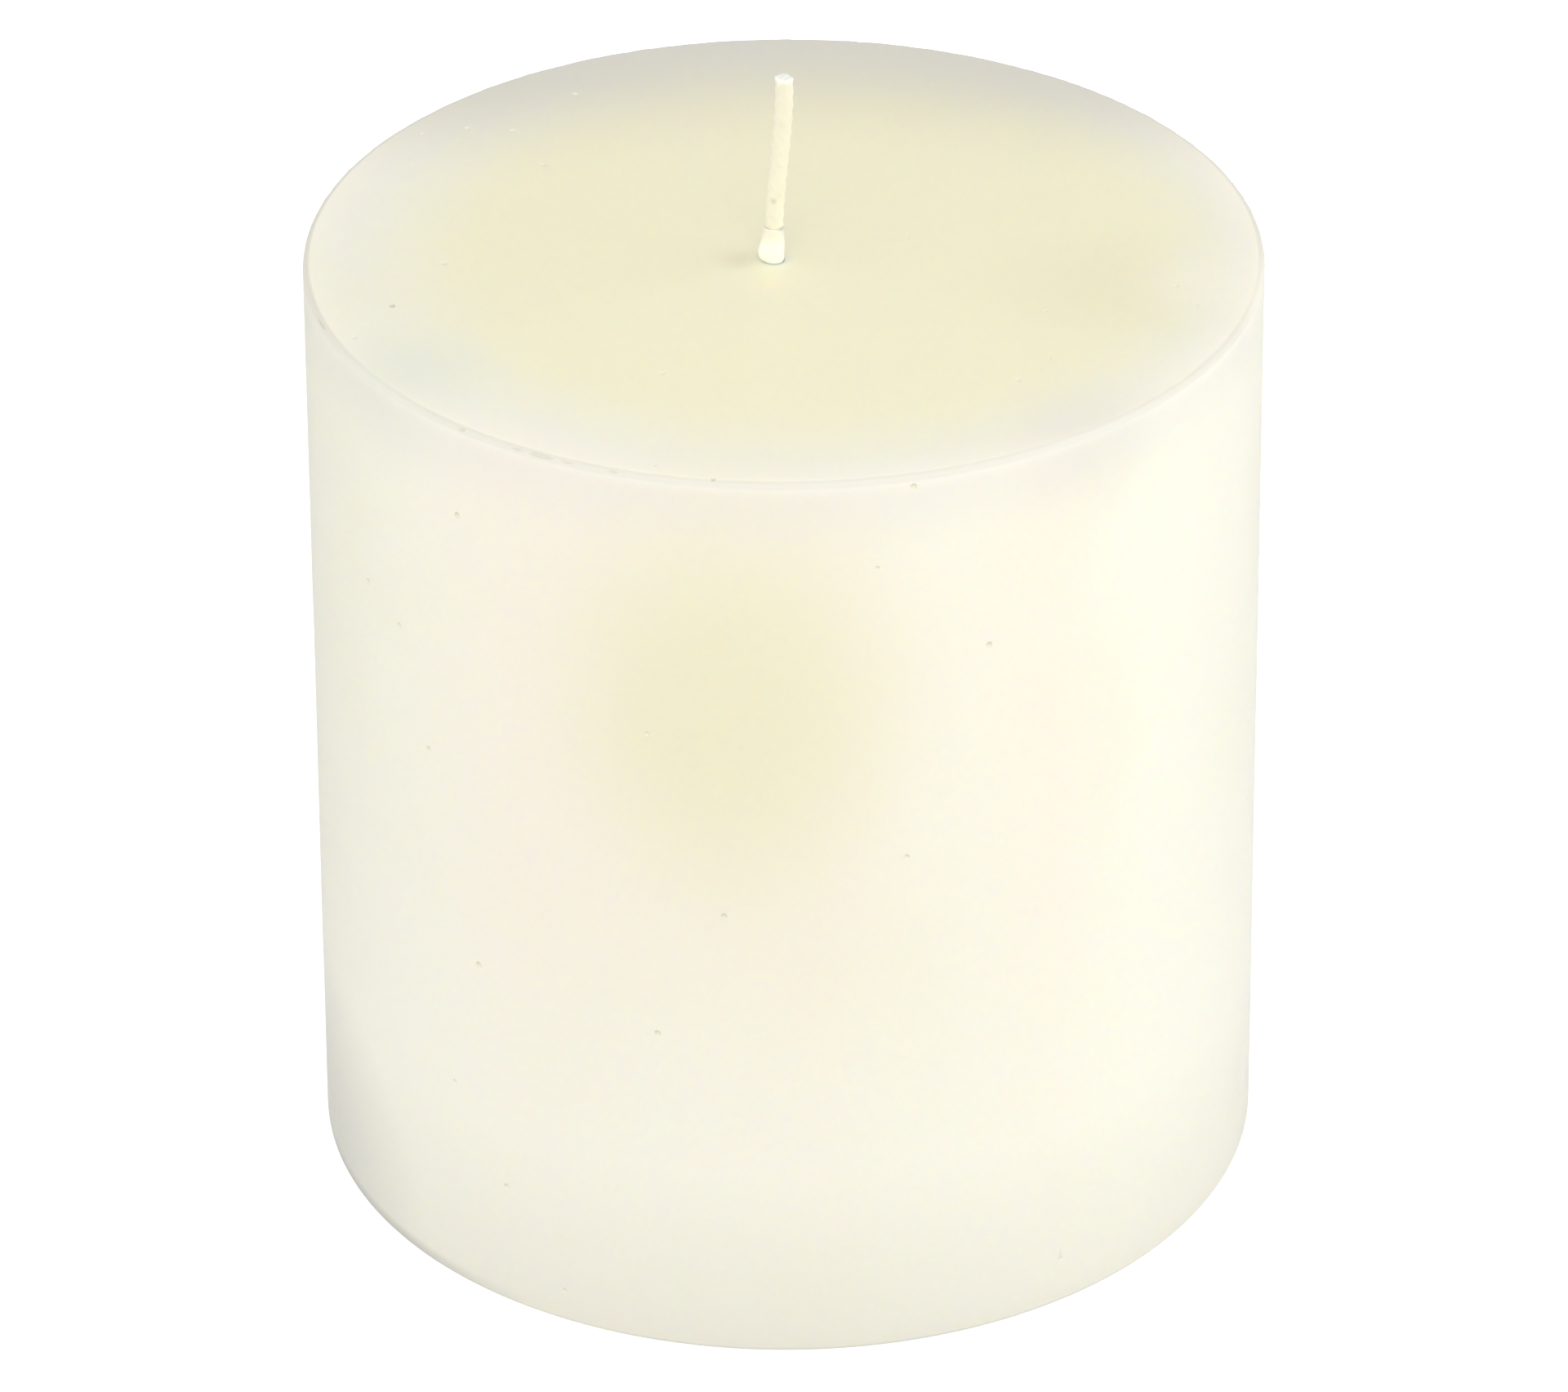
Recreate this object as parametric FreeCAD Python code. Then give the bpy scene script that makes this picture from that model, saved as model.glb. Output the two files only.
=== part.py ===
"""Pillar candle: a pressed wax body, a waxed braided wick that stands a little off its centre,
the drop of wax that set round the wick's foot, and the tin tab that holds the wick underneath.

Millimetres. +Z is up, the origin is the centre of the base, and the candle's front looks along -Y.
"""

import FreeCAD, Part
import math
import os

Vector = FreeCAD.Vector
UP = Vector(0, 0, 1)
LEFT = Vector(-1, 0, 0)
ORIGIN = Vector(0, 0, 0)

# Wax body: a 3 inch pillar, with the slight draft that lets it leave its die by the base.
body_height = 76.0
top_diameter = 73.0
base_diameter = 74.0
top_edge_radius = 0.5
base_edge_radius = 1.0

# Wick: cotton braid stiffened with wax. It leaves the top off centre and leans over in a flat S.
wick_diameter = 1.4
wick_standing_height = 15.5
wick_offset_x = -0.7
wick_offset_y = -1.5
wick_lean = 0.8
wick_straight_foot = 2.4
wick_straight_tip = 1.1
wick_tip_chamfer = 0.15
bore_clearance = 0.05

# Wax drop round the wick's foot: how thick it is on the wick's left side at each height, and the
# film that it leaves on the right side and at its top.
drop_height = 2.9
drop_bulge_height = 0.75
drop_shoulder_height = 1.8
drop_foot_thickness = 0.45
drop_bulge_thickness = 0.56
drop_shoulder_thickness = 0.28
drop_film = 0.08

# Wick tab: a drawn tin disc whose neck grips the wick. It sits in a shallow recess in the base.
tab_diameter = 20.0
tab_thickness = 0.3
tab_set_in = 0.7
tab_edge_gap = 0.6
neck_height = 6.0
neck_wall = 0.3
neck_root_radius = 0.7
neck_lip_chamfer = 0.1
neck_grip_clearance = 0.02
socket_clearance = 0.15
socket_headroom = 0.4
recess_edge_chamfer = 0.4

# Worked out from the sizes above.
wick_radius = wick_diameter / 2
bore_radius = wick_radius + bore_clearance
wick_foot = Vector(wick_offset_x, wick_offset_y, 0)
wick_top = body_height + wick_standing_height
recess_depth = tab_set_in + tab_thickness
recess_radius = tab_diameter / 2 + wick_foot.Length + tab_edge_gap
neck_bore_radius = wick_radius + neck_grip_clearance
neck_radius = neck_bore_radius + neck_wall
neck_top = recess_depth + neck_height
root_radius = neck_radius + neck_root_radius
root_top = recess_depth + neck_root_radius
socket_radius = neck_radius + socket_clearance
socket_top = neck_top + socket_headroom
SAME_PLACE = 0.001


def point(radius, height):
    """A point of a turned outline, at that radius from the axis."""
    return Vector(radius, 0, height)


def line(start, end):
    """A straight edge."""
    return Part.LineSegment(start, end).toShape()


def turned(outline, foot):
    """The solid that an outline of edges in the XZ plane makes about the vertical axis through foot."""
    solid = Part.Face(Part.Wire(outline)).revolve(ORIGIN, UP, 360)
    solid.translate(foot)
    return solid


def turned_polygon(corners, foot):
    """The same, for an outline of straight edges between corners."""
    following = corners[1:] + corners[:1]
    return turned([line(a, b) for a, b in zip(corners, following)], foot)


def circles_at(solid, radius, height):
    """The circular edges of that radius at that height."""
    return [
        edge
        for edge in solid.Edges
        if isinstance(edge.Curve, Part.Circle)
        and abs(edge.Curve.Radius - radius) < SAME_PLACE
        and abs(edge.Curve.Center.z - height) < SAME_PLACE
    ]


def make_wax_body():
    """The pressed wax: a drafted cylinder with its two edges rounded, hollowed for the tab and the wick."""
    top_radius = top_diameter / 2
    base_radius = base_diameter / 2
    corners = [
        point(0, 0),
        point(base_radius, 0),
        point(top_radius, body_height),
        point(0, body_height),
    ]
    body = turned_polygon(corners, ORIGIN)
    body = body.makeFillet(top_edge_radius, circles_at(body, top_radius, body_height))
    body = body.makeFillet(base_edge_radius, circles_at(body, base_radius, 0))
    body = body.cut(Part.makeCylinder(recess_radius, recess_depth))
    body = body.makeChamfer(recess_edge_chamfer, circles_at(body, recess_radius, 0))
    return body.cut(make_stepped_bore())


def make_stepped_bore():
    """The space for the wick and the tab's neck: flared at the neck's root, then its socket, then the bore."""
    corners = [
        point(0, recess_depth),
        point(root_radius + socket_clearance, recess_depth),
        point(socket_radius, root_top + socket_clearance),
        point(socket_radius, socket_top),
        point(bore_radius, socket_top),
        point(bore_radius, body_height),
        point(0, body_height),
    ]
    return turned_polygon(corners, wick_foot)


def wick_path():
    """The wick's centreline: straight through the body, then two equal arcs that lean it and bring it upright."""
    bend_start = body_height + wick_straight_foot
    bend_height = wick_top - wick_straight_tip - bend_start
    arc_turn = 2 * math.atan2(wick_lean, bend_height)
    arc_radius = bend_height / (2 * math.sin(arc_turn))
    half_turn = arc_turn / 2
    to_arc_middle = Vector(
        arc_radius * (1 - math.cos(half_turn)), 0, arc_radius * math.sin(half_turn)
    )
    bottom = wick_foot + UP * tab_set_in
    start = wick_foot + UP * bend_start
    end = start + Vector(wick_lean, 0, bend_height)
    middle = (start + end) / 2
    tip = end + UP * wick_straight_tip
    return Part.Wire(
        [
            line(bottom, start),
            Part.Arc(start, start + to_arc_middle, middle).toShape(),
            Part.Arc(middle, end - to_arc_middle, end).toShape(),
            line(end, tip),
        ]
    )


def make_wick():
    """The waxed braid: one round section carried along the centreline, its cut tip eased."""
    section = Part.makeCircle(wick_radius, wick_foot + UP * tab_set_in, UP)
    wick = wick_path().makePipe(Part.Face(Part.Wire(section)))
    return wick.makeChamfer(wick_tip_chamfer, circles_at(wick, wick_radius, wick_top))


def drop_ring(height, left_thickness):
    """The drop's outline at a height above the top: a circle that lies off the wick, towards its left side."""
    radius = wick_radius + (left_thickness + drop_film) / 2
    shift = (left_thickness - drop_film) / 2
    centre = wick_foot + UP * (body_height + height) + LEFT * shift
    return Part.Wire(Part.makeCircle(radius, centre, UP))


def make_wax_drop(wick):
    """The drop of wax: a smooth loft from its foot over the bulge to a thin collar, with the wick through it."""
    rings = [
        drop_ring(0, drop_foot_thickness),
        drop_ring(drop_bulge_height, drop_bulge_thickness),
        drop_ring(drop_shoulder_height, drop_shoulder_thickness),
        drop_ring(drop_height, drop_film),
    ]
    return Part.makeLoft(rings, True).cut(wick)


def make_wick_tab():
    """The drawn tab: a disc that runs through a rounded root into the neck, with the wick's hole through both."""
    disc_radius = tab_diameter / 2
    root_start = point(root_radius, recess_depth)
    root_end = point(neck_radius, root_top)
    root_middle = point(root_radius, root_top) + Vector(-1, 0, -1) * (
        neck_root_radius * math.sqrt(0.5)
    )
    outline = [
        line(point(neck_bore_radius, tab_set_in), point(disc_radius, tab_set_in)),
        line(point(disc_radius, tab_set_in), point(disc_radius, recess_depth)),
        line(point(disc_radius, recess_depth), root_start),
        Part.Arc(root_start, root_middle, root_end).toShape(),
        line(root_end, point(neck_radius, neck_top)),
        line(point(neck_radius, neck_top), point(neck_bore_radius, neck_top)),
        line(point(neck_bore_radius, neck_top), point(neck_bore_radius, tab_set_in)),
    ]
    tab = turned(outline, wick_foot)
    return tab.makeChamfer(neck_lip_chamfer, circles_at(tab, neck_radius, neck_top))


def main():
    """Builds each piece and writes it under its own name."""
    wick = make_wick()
    pieces = {
        "wax_body": make_wax_body(),
        "wick": wick,
        "wax_drop": make_wax_drop(wick),
        "wick_tab": make_wick_tab(),
    }
    os.makedirs("parts", exist_ok=True)
    for name, shape in pieces.items():
        print(name, "solids", len(shape.Solids), "volume", round(shape.Volume, 3), "valid", shape.isValid())
        shape.exportStep(f"parts/{name}.step")


main()
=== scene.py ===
# %% [markdown]
# # An ivory pillar candle
# A pressed cylinder of translucent wax, one waxed cotton wick with a drop of white wax at its foot,
# and the tin tab that holds the wick underneath. The imported model is loaded first and stays where
# it is: every piece below takes its place from it, in metres.

# %% Load the imported model
import math

import bmesh
import bpy
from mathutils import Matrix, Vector


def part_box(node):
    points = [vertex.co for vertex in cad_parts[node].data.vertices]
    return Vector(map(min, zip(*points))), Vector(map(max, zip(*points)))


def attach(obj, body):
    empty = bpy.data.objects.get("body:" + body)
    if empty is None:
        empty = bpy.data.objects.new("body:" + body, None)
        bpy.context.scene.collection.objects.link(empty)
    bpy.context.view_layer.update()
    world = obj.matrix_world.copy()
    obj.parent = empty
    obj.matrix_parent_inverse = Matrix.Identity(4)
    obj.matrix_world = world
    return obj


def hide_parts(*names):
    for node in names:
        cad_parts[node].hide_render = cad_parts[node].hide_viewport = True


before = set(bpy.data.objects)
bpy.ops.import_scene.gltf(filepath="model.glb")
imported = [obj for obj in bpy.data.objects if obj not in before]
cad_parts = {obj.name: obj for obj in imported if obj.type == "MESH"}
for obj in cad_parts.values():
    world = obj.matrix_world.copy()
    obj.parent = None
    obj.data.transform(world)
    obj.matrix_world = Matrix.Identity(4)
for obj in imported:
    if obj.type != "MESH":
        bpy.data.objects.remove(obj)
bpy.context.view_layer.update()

MM = 0.001

# %% [markdown]
# ## Sizes
# The heights come from the boxes of the nodes. The radii are those of the solids. The wax is a
# 3 inch pillar, a little narrower at its top so that it leaves its die, and its wick stands 0.7 mm
# left of the middle and 1.5 mm in front of it. The base edge is as crisp as the photograph shows
# it, so the last millimetre of the side goes straight down, inside the solid's box.

# %% Sizes
AXIS = Vector((0, 0, 0))
UP = Vector((0, 0, 1))
WICK_FOOT = Vector((-0.7, -1.5, 0)) * MM
BODY_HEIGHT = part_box("wax_body")[1].z
WICK_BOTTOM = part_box("wick")[0].z
WICK_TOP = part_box("wick")[1].z
BASE_RADIUS = 37.0 * MM
TOP_RADIUS = 36.5 * MM
BASE_EDGE = 0.5 * MM
FOOT_STRAIGHT = 1.0 * MM
TOP_EDGE = 0.5 * MM
WICK_RADIUS = 0.7 * MM
print("wax", round(BODY_HEIGHT / MM, 2), "mm high")
print("wick from", round(WICK_BOTTOM / MM, 2), "to", round(WICK_TOP / MM, 2), "mm")

# %% [markdown]
# ## Helpers for modelling
# Everything is modelled as by hand: a primitive is added where it belongs, then shaped in edit
# mode. The first helper adds one with nothing else selected and puts its place into its mesh. The
# second selects faces by a test. Another grows the selected end face of a round piece ring by ring,
# as one would press E, move and S: each ring is a radius, a height and the axis that it lies about.

# %% Helpers for modelling
SAME = 0.01 * MM


def start_piece(name, add, **settings):
    """Adds a primitive with all else deselected, names it and puts its place into its mesh."""
    bpy.ops.object.select_all(action="DESELECT")
    add(**settings)
    piece = bpy.context.object
    piece.name = piece.data.name = name
    bpy.ops.object.transform_apply(location=True, rotation=True, scale=True)
    return piece


def pick_faces(test):
    """In edit mode, selects only the faces that pass the test, and says how many they are."""
    bpy.ops.mesh.select_mode(type="FACE")
    bpy.ops.mesh.select_all(action="DESELECT")
    mesh = bmesh.from_edit_mesh(bpy.context.object.data)
    chosen = [face for face in mesh.faces if test(face)]
    for face in chosen:
        face.select_set(True)
    bmesh.update_edit_mesh(bpy.context.object.data)
    return len(chosen)


def flat_at(height):
    """A test for faces that lie flat at that height."""
    return lambda face: all(abs(v.co.z - height) < SAME for v in face.verts)


def grow_rings(rings):
    """Extrudes the selected end face into one ring after another: (radius, height, axis)."""
    mesh = bmesh.from_edit_mesh(bpy.context.object.data)
    face = next(f for f in mesh.faces if f.select)
    centre = face.calc_center_median()
    radius = (face.verts[0].co - centre).length
    for next_radius, height, axis in rings:
        target = Vector((axis.x, axis.y, height))
        bpy.ops.mesh.extrude_region_move(TRANSFORM_OT_translate={"value": target - centre})
        scale = next_radius / radius
        bpy.ops.transform.resize(value=(scale, scale, 1), center_override=target)
        centre, radius = target, next_radius


def steps(start, end, count):
    """Evenly spaced values after start, up to and with end."""
    return [start + (end - start) * (i + 1) / count for i in range(count)]


def apply_modifiers(piece):
    """Applies all the modifiers of a piece, in their order."""
    bpy.ops.object.select_all(action="DESELECT")
    bpy.context.view_layer.objects.active = piece
    piece.select_set(True)
    for modifier in list(piece.modifiers):
        bpy.ops.object.modifier_apply(modifier=modifier.name)


def in_mm(lengths):
    """Lengths in rounded millimetres, to print."""
    return [round(length / MM, 3) for length in lengths]


# %% [markdown]
# ## The wax body
# On the real candle this is wax powder or melt that set in a metal die: flat on top, straight at
# its side, with crisp edges at its top and its base. It could be a cylinder with bevels. It is
# grown ring by ring instead, because that puts rows of faces where the relief needs them: close
# together at the top edge, wide apart on the side. The rings run up the side, over the top to the
# hole for the wick, down that hole and out again round the recess in the base, and a bridge closes
# them.

# %% Outside of the wax body
SEGMENTS = 512
EDGE_STEPS = 6
SIDE_ROWS, EDGE_ROWS, TOP_ROWS = 44, 12, 18
EDGE_BAND = 3.0 * MM
TOP_MIDDLE = 5 * MM


def side_radius(height):
    """Radius of the drafted side at that height."""
    return BASE_RADIUS + (TOP_RADIUS - BASE_RADIUS) * max(height, FOOT_STRAIGHT) / BODY_HEIGHT


def rounded_edge(radius, height, turn_from, turn_to, size):
    """Rings over a rounded edge whose centre circle has that radius and height."""
    turns = [math.radians(a) for a in steps(turn_from, turn_to, EDGE_STEPS)]
    return [(radius + size * math.cos(a), height + size * math.sin(a), AXIS) for a in turns]


base_flat = BASE_RADIUS - BASE_EDGE
base_rings = rounded_edge(side_radius(BASE_EDGE) - BASE_EDGE, BASE_EDGE, -90, 0, BASE_EDGE)
first_radius, first_height, _ = base_rings[0]
wax = start_piece(
    "candle_wax",
    bpy.ops.mesh.primitive_cylinder_add,
    vertices=SEGMENTS,
    radius=base_flat,
    depth=first_height,
    location=(0, 0, first_height / 2),
)
side_top = BODY_HEIGHT - TOP_EDGE
side_heights = steps(BASE_EDGE, side_top - EDGE_BAND, SIDE_ROWS)
side_heights += steps(side_heights[-1], side_top, EDGE_ROWS)
side_rings = [(side_radius(h), h, AXIS) for h in side_heights]
top_flat = TOP_RADIUS - TOP_EDGE
edge_rings = rounded_edge(top_flat, side_top, 0, 90, TOP_EDGE)
top_radii = steps(top_flat, top_flat - EDGE_BAND, EDGE_ROWS)
top_radii += steps(top_flat - EDGE_BAND, TOP_MIDDLE, TOP_ROWS)
top_rings = [(r, BODY_HEIGHT, AXIS) for r in top_radii]

bpy.ops.object.mode_set(mode="EDIT")
pick_faces(flat_at(first_height))
first_scale = first_radius / base_flat
bpy.ops.transform.resize(
    value=(first_scale, first_scale, 1), center_override=(0, 0, first_height)
)
grow_rings(base_rings[1:] + side_rings + edge_rings + top_rings)
print("rings", len(base_rings), len(side_rings), len(edge_rings), len(top_rings))

# %% [markdown]
# The hole for the wick lies off the middle, so the rings close in on the wick's own axis. Further
# down the hole widens into a socket for the neck of the tab, and the recess lies about the middle
# again. The last ring is the mouth of the recess, and the bridge makes the flat ring that the
# candle stands on.

# %% Bore, socket and recess
NEAR_WICK, BESIDE_WICK = 3.0 * MM, 1.6 * MM
BORE_RADIUS = WICK_RADIUS + 0.05 * MM
BORE_LIP = 1 * MM
SOCKET_RADIUS, SOCKET_TOP = 1.17 * MM, 7.4 * MM
FLARE_RADIUS, FLARE_TOP = 1.87 * MM, 1.85 * MM
RECESS_RADIUS, RECESS_DEPTH = 12.255 * MM, 1.0 * MM
RECESS_EDGE = 0.4 * MM
grow_rings(
    [
        (NEAR_WICK, BODY_HEIGHT, WICK_FOOT * 0.5),
        (BESIDE_WICK, BODY_HEIGHT, WICK_FOOT),
        (BORE_RADIUS, BODY_HEIGHT, WICK_FOOT),
        (BORE_RADIUS, BODY_HEIGHT - BORE_LIP, WICK_FOOT),
        (BORE_RADIUS, SOCKET_TOP, WICK_FOOT),
        (SOCKET_RADIUS, SOCKET_TOP, WICK_FOOT),
        (SOCKET_RADIUS, FLARE_TOP, WICK_FOOT),
        (FLARE_RADIUS, RECESS_DEPTH, WICK_FOOT),
        (RECESS_RADIUS, RECESS_DEPTH, AXIS),
        (RECESS_RADIUS, RECESS_EDGE, AXIS),
        (RECESS_RADIUS + RECESS_EDGE, 0, AXIS),
    ]
)
print("faces to bridge", pick_faces(flat_at(0)))
bpy.ops.mesh.bridge_edge_loops()
bpy.ops.mesh.select_all(action="SELECT")
bpy.ops.mesh.normals_make_consistent(inside=False)
bpy.ops.object.mode_set(mode="OBJECT")
print("wax body", len(wax.data.polygons), "faces")

# %% [markdown]
# Wax is never as true as its die. It pulls in unevenly as it cools, by some hundredths of a
# millimetre over a centimetre or two, and where the die parts at the top edge it leaves a ragged
# flash. Both are real relief, made by Displace modifiers with cloud textures: a broad one for the
# whole body above its foot, and a fine one for the top edge alone, each held by a vertex group.

# %% Unevenness and flash
SHRINK_WAVES = (14 * MM, 0.07 * MM)
CALM_MIDDLE = 4 * MM
CALM_FOOT, FADE_IN = 3 * MM, 9 * MM
FLASH_GRAIN = (0.9 * MM, 0.12 * MM)
FLASH_REACH = 0.8 * MM


def add_relief(piece, name, wave, weight_at):
    """Displaces a piece with clouds of that size and depth, by a weight for each point."""
    size, depth = wave
    clouds = bpy.data.textures.new(name, "CLOUDS")
    clouds.noise_scale = size
    group = piece.vertex_groups.new(name=name)
    for vertex in piece.data.vertices:
        weight = weight_at(vertex.co)
        if weight > 0:
            group.add([vertex.index], weight, "REPLACE")
    relief = piece.modifiers.new(name, "DISPLACE")
    relief.texture = clouds
    relief.texture_coords = "LOCAL"
    relief.strength = depth
    relief.mid_level = 0.5
    relief.vertex_group = name


def radius_of(point):
    """Distance from the candle's axis."""
    return math.hypot(point.x, point.y)


def broad_weight(point):
    """Nothing near the wick and at the foot, full from 12 mm up."""
    outside = radius_of(point) > CALM_MIDDLE
    return min(1.0, max(0.0, point.z - CALM_FOOT) / FADE_IN) if outside else 0.0


def flash_weight(point):
    """Full on the top edge, nothing further away from it than the flash reaches."""
    away = math.hypot(radius_of(point) - TOP_RADIUS, point.z - BODY_HEIGHT)
    return max(0.0, 1 - away / FLASH_REACH)


add_relief(wax, "shrink_waves", SHRINK_WAVES, broad_weight)
add_relief(wax, "edge_flash", FLASH_GRAIN, flash_weight)
apply_modifiers(wax)
print("wax box", in_mm(wax.dimensions))

# %% [markdown]
# The candle has small marks: pinholes where air bubbles broke open, two grains of dust set in the
# top, and nicks along its edge. Each is cut with a small ball: a ball is added, squashed to the
# shape of its mark, and placed half out of the wax, so that it leaves a shallow hollow, and one
# Boolean modifier takes all of them out of the wax. The balls carry the dull materials of the
# marks, and the Boolean passes these on to the hollows. A pinhole or a grain is given by its place
# and its radius, a nick by its azimuth in degrees, its half length and its half depth. Places and
# lengths are in millimetres. The balls stay clear of each other, because the Boolean fails where
# they overlap.

# %% Marks in the wax
TOP = 76.0
PINHOLES = [
    (-21.0, 20.3, TOP, 0.26), (-18.5, 14.4, TOP, 0.30), (-16.3, 26.6, TOP, 0.24),
    (-25.7, -1.8, TOP, 0.32), (17.3, -20.8, TOP, 0.24), (29.6, -6.1, TOP, 0.22),
    (9.3, -35.3, 75.1, 0.26), (-31.3, -19.0, 58.1, 0.26), (-28.9, -22.5, 56.3, 0.22),
    (-26.9, -25.0, 47.0, 0.24), (-10.3, -35.2, 54.3, 0.22), (6.7, -35.9, 68.7, 0.15),
    (-25.6, -26.6, 18.2, 0.22), (-21.7, -29.9, 10.7, 0.26), (-4.7, -36.4, 39.2, 0.22),
    (8.9, -35.6, 43.8, 0.20), (-24.1, -27.4, 68.5, 0.24), (35.8, -8.6, 32.1, 0.24),
    (-9.0, -19.5, TOP, 0.22), (-24.6, 20.8, TOP, 0.18), (-28.1, 19.8, TOP, 0.16),
    (9.5, 2.1, TOP, 0.12), (-32.0, -13.7, TOP, 0.18), (19.7, -17.4, TOP, 0.16),
    (31.0, -9.3, TOP, 0.13), (19.6, -10.0, TOP, 0.16), (-9.4, -33.5, TOP, 0.12),
    (15.1, -33.1, TOP, 0.18), (-17.3, -32.7, 2.9, 0.2), (21.0, -30.5, 4.1, 0.2),
    (14.9, -33.4, 60.7, 0.26), (-9.8, -35.5, 28.2, 0.3), (-23.4, -28.4, 29.9, 0.28),
]
DUST = [(-5.2, -35.7, TOP, 0.2), (-29.4, -8.7, TOP, 0.24)]
NICKS = [
    (-29.2, 1.2, 0.17), (-25.9, 0.7, 0.13), (-32.5, 0.6, 0.12),
    (-40.5, 0.4, 0.18), (-20.1, 0.5, 0.14), (-72.1, 1.3, 0.12),
]
BALL_OUT, BALL_SIZE = 0.6, 1.2
NICK_INSET = 0.1 * MM


def add_mark(place, half_sizes, turn, finish):
    """Adds the ball that cuts one mark: squashed to its half sizes and turned about the axis."""
    ball = start_piece(
        "mark",
        bpy.ops.mesh.primitive_ico_sphere_add,
        subdivisions=3,
        radius=1.0,
        location=place,
        rotation=(0, 0, turn),
        scale=half_sizes,
    )
    ball.data.materials.append(finish)
    return ball


pinhole_wax, dust_grain, nicked_wax, wax_finish = (
    bpy.data.materials.new(name)
    for name in ("pinhole_in_wax", "dust_in_wax", "nick_in_wax", "ivory_paraffin_wax")
)
wax.data.materials.append(wax_finish)
marks = []
for spots, finish in ((PINHOLES, pinhole_wax), (DUST, dust_grain)):
    for x, y, z, size in spots:
        outwards = UP if z == TOP else Vector((x, y, 0)).normalized()
        spot = (Vector((x, y, z)) + outwards * size * BALL_OUT) * MM
        half_sizes = Vector((size, size, size)) * BALL_SIZE * MM
        marks.append(add_mark(spot, half_sizes, 0, finish))
for azimuth, length, depth in NICKS:
    turn = math.radians(azimuth)
    out = TOP_RADIUS - NICK_INSET
    spot = Vector((out * math.sin(turn), -out * math.cos(turn), BODY_HEIGHT - NICK_INSET))
    marks.append(add_mark(spot, (length * MM, depth * MM, depth * MM), turn, nicked_wax))
bpy.ops.object.select_all(action="DESELECT")
for ball in marks:
    ball.select_set(True)
bpy.context.view_layer.objects.active = marks[0]
bpy.ops.object.join()
cutter = bpy.context.object
carve = wax.modifiers.new("marks", "BOOLEAN")
carve.operation = "DIFFERENCE"
carve.object = cutter
carve.solver = "EXACT"
carve.material_mode = "TRANSFER"
apply_modifiers(wax)
bpy.data.objects.remove(cutter)
bpy.ops.object.shade_smooth_by_angle(angle=math.radians(40))
print("wax body", len(wax.data.polygons), "faces,", [m.name for m in wax.data.materials])

# %% [markdown]
# ## The wick
# The real wick is cotton yarns braided into a cord 1.4 mm thick and dipped in wax, so only a soft
# trace of its herringbone shows. It could be a plain tube with a bump pattern. Here the relief is
# real: one plait stitch is a stretched ball laid against a core, its neighbour leans the other way,
# the pair is copied round the core and up its length, and a voxel remesh melts all of it into one
# skin, as the wax does. The hidden part below is the bare core.

# %% Plait stitches
PLAIT_PITCH = 1.15 * MM
STITCH_LEAN = math.radians(28)
STITCH_HALF = Vector((0.1, 0.23, 0.72)) * MM
STITCH_SEGMENTS, STITCH_RINGS = 16, 10
STITCH_OUT = WICK_RADIUS - STITCH_HALF.x
VISIBLE_FROM = BODY_HEIGHT - WICK_BOTTOM - 1.5 * MM
QUARTER = math.pi / 2
SIDES = 4


def lay_stitch(turn, lean):
    """Adds one stitch against the core, turned about it and leaning to one side."""
    stitch = start_piece(
        "stitch",
        bpy.ops.mesh.primitive_uv_sphere_add,
        segments=STITCH_SEGMENTS,
        ring_count=STITCH_RINGS,
        radius=1.0,
        location=(STITCH_OUT, 0, VISIBLE_FROM),
        rotation=(lean, 0, 0),
        scale=STITCH_HALF,
    )
    bpy.ops.object.mode_set(mode="EDIT")
    bpy.ops.mesh.select_all(action="SELECT")
    bpy.ops.transform.rotate(value=turn, orient_axis="Z", center_override=(0, 0, 0))
    bpy.ops.object.mode_set(mode="OBJECT")
    return stitch


pair = [lay_stitch(0.22 * QUARTER, STITCH_LEAN), lay_stitch(0.78 * QUARTER, -STITCH_LEAN)]
bpy.ops.object.select_all(action="DESELECT")
for stitch in pair:
    stitch.select_set(True)
bpy.context.view_layer.objects.active = pair[0]
bpy.ops.object.join()
plait = bpy.context.object
plait.name = plait.data.name = "candle_wick"
bpy.ops.object.mode_set(mode="EDIT")
bpy.ops.mesh.select_all(action="SELECT")
for side in range(SIDES - 1):
    bpy.ops.mesh.duplicate()
    bpy.ops.transform.rotate(value=QUARTER, orient_axis="Z", center_override=(0, 0, 0))
bpy.ops.object.mode_set(mode="OBJECT")
print("stitches round the core:", len(plait.data.polygons) // (STITCH_SEGMENTS * STITCH_RINGS))

# %% [markdown]
# The pairs are repeated upwards by an Array, past the tip, and then cut off with a bisect, a little
# askew, as scissors do.

# %% Wick of one piece
CORE_RADIUS = WICK_RADIUS - 0.045 * MM
CORE_SPARE = 2 * MM
CUT_SLANT = 0.12
VOXEL = 0.1 * MM
straight_length = WICK_TOP - WICK_BOTTOM
rows = plait.modifiers.new("rows", "ARRAY")
rows.count = math.ceil((straight_length - VISIBLE_FROM) / PLAIT_PITCH) + 1
rows.use_relative_offset = False
rows.use_constant_offset = True
rows.constant_offset_displace = (0, 0, PLAIT_PITCH)
apply_modifiers(plait)
start_piece(
    "core",
    bpy.ops.mesh.primitive_cylinder_add,
    vertices=48,
    radius=CORE_RADIUS,
    depth=straight_length + CORE_SPARE,
    location=(0, 0, straight_length / 2 + CORE_SPARE / 2),
)
plait.select_set(True)
bpy.context.view_layer.objects.active = plait
bpy.ops.object.join()
wick = bpy.context.object
bpy.ops.object.mode_set(mode="EDIT")
bpy.ops.mesh.select_all(action="SELECT")
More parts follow.
